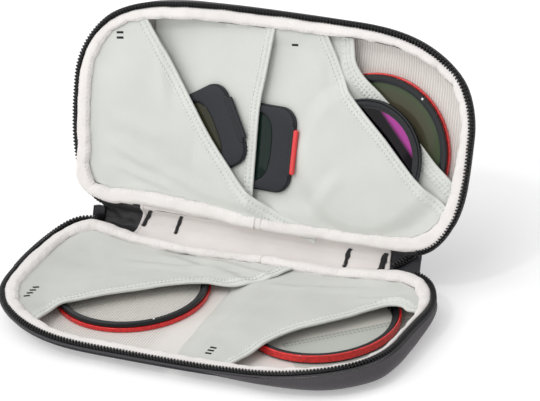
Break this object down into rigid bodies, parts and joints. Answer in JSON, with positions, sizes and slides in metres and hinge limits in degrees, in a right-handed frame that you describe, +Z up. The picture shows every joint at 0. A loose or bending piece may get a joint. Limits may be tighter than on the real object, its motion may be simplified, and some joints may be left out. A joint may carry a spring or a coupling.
{
  "type": "camera lens case",
  "caption": "Clamshell pocket case for lens filters, standing open: two padded zip halves on a soft spine, fabric pockets inside, with round and square filters in them.",
  "frame": {"origin": "centre of the lower half's flat underside, on the surface that the case stands on", "axes": "+X along the hinge to the right of someone facing the open case, +Y from the front edge to the hinge, +Z up"},
  "size_m": [0.238, 0.1757, 0.1377],
  "materials": {
    "woven_shell": "coarse woven nylon, charcoal",
    "lining": "brushed knit, pale",
    "foam": "moulded foam sheet",
    "rim_roll": "padded fabric roll, off-white",
    "zip_tape": "woven tape, black",
    "zip_coil": "nylon coil, black",
    "piping": "thin cord edging, grey",
    "pocket_panel": "light fabric, pale grey-green",
    "pocket_hem": "folded and stitched edge",
    "gusset": "smooth ripstop, black",
    "stiffener": "thin board",
    "bar_tack": "dense stitching, black",
    "webbing": "woven strap, dark",
    "slider_metal": "dark, satin",
    "red_band": "knurled, anodised red",
    "black_band": "knurled, anodised black",
    "filter_ring": "anodised dark grey",
    "clear_glass": "clear",
    "green_glass": "grey-green, polished",
    "magenta_glass": "magenta coated, polished",
    "olive_glass": "dark olive, polished",
    "plate_frame": "dark grey, fine grain",
    "red_clip": "red, satin"
  },
  "bodies": {
    "base": {"base_shell": "woven_shell", "base_lining": "lining", "base_foam": "foam", "base_roll": "rim_roll", "base_zip_tape": "zip_tape", "base_zip_coil": "zip_coil", "base_piping": "piping", "pocket_4": "pocket_panel", "hem_4": "pocket_hem", "pocket_3": "pocket_panel", "hem_3": "pocket_hem"},
    "spine": {"spine_outer": "woven_shell", "spine_board": "stiffener", "spine_lining": "lining", "gusset_left": "gusset", "gusset_right": "gusset", "bar_tack_1": "bar_tack", "bar_tack_2": "bar_tack", "bar_tack_3": "bar_tack", "bar_tack_4": "bar_tack", "spine_strap": "webbing", "chain_left": "zip_coil", "chain_right": "zip_coil"},
    "lid": {"lid_shell": "woven_shell", "lid_lining": "lining", "lid_foam": "foam", "lid_roll": "rim_roll", "lid_zip_tape": "zip_tape", "lid_zip_coil": "zip_coil", "lid_piping": "piping", "pocket_rear": "pocket_panel", "hem_rear": "pocket_hem", "pocket_1": "pocket_panel", "hem_1": "pocket_hem", "pocket_card": "pocket_panel", "hem_card": "pocket_hem", "pocket_2": "pocket_panel", "hem_2": "pocket_hem"},
    "slider": {"slider_body": "slider_metal"},
    "pull": {"zip_pull": "slider_metal"},
    "filter_a": {"filter_a_band": "red_band", "filter_a_ring": "filter_ring", "filter_a_glass": "clear_glass"},
    "filter_b": {"filter_b_band": "red_band", "filter_b_ring": "filter_ring", "filter_b_glass": "clear_glass"},
    "filter_c": {"filter_c_band": "red_band", "filter_c_ring": "filter_ring", "filter_c_glass": "green_glass"},
    "filter_d": {"filter_d_band": "black_band", "filter_d_ring": "filter_ring", "filter_d_glass": "magenta_glass"},
    "plate_l": {"plate_l_frame": "plate_frame", "plate_l_glass": "olive_glass", "plate_l_clip": "plate_frame"},
    "plate_m": {"plate_m_frame": "plate_frame", "plate_m_glass": "olive_glass", "plate_m_clip": "red_clip"}
  },
  "joints": [
    {"name": "spine_fold", "type": "hinge", "parent": "base", "child": "spine", "pos_m": [0, 0.0603, 0.006], "axis": [1, 0, 0], "range_deg": [-66, 24]},
    {"name": "lid_fold", "type": "hinge", "parent": "spine", "child": "lid", "pos_m": [0, 0.06856, 0.02455], "axis": [1, 0, 0], "range_deg": [0, 90]},
    {"name": "zip_slide", "type": "slide", "parent": "spine", "child": "slider", "axis": [0, 0.4067, 0.9135], "range_m": [-0.006, 0]},
    {"name": "pull_swing", "type": "hinge", "parent": "slider", "child": "pull", "pos_m": [-0.0987, 0.07275, 0.01835], "axis": [1, 0, 0], "range_deg": [0, 80]},
    {"name": "filter_a_draw", "type": "slide", "parent": "base", "child": "filter_a", "axis": [0.3011, -0.9536, 0], "range_m": [0, 0.01]},
    {"name": "filter_b_draw", "type": "slide", "parent": "base", "child": "filter_b", "axis": [0.2, -0.9798, 0], "range_m": [0, 0.01]},
    {"name": "filter_c_draw", "type": "slide", "parent": "lid", "child": "filter_c", "axis": [0, 0.4067, 0.9135], "range_m": [0, 0.006]},
    {"name": "filter_d_draw", "type": "slide", "parent": "lid", "child": "filter_d", "axis": [0.7239, 0.2806, 0.6303], "range_m": [0, 0.006]},
    {"name": "plate_l_draw", "type": "slide", "parent": "lid", "child": "plate_l", "axis": [0, 0.4067, 0.9135], "range_m": [0, 0.01]},
    {"name": "plate_m_draw", "type": "slide", "parent": "lid", "child": "plate_m", "axis": [0, 0.4067, 0.9135], "range_m": [0, 0.01]}
  ]
}
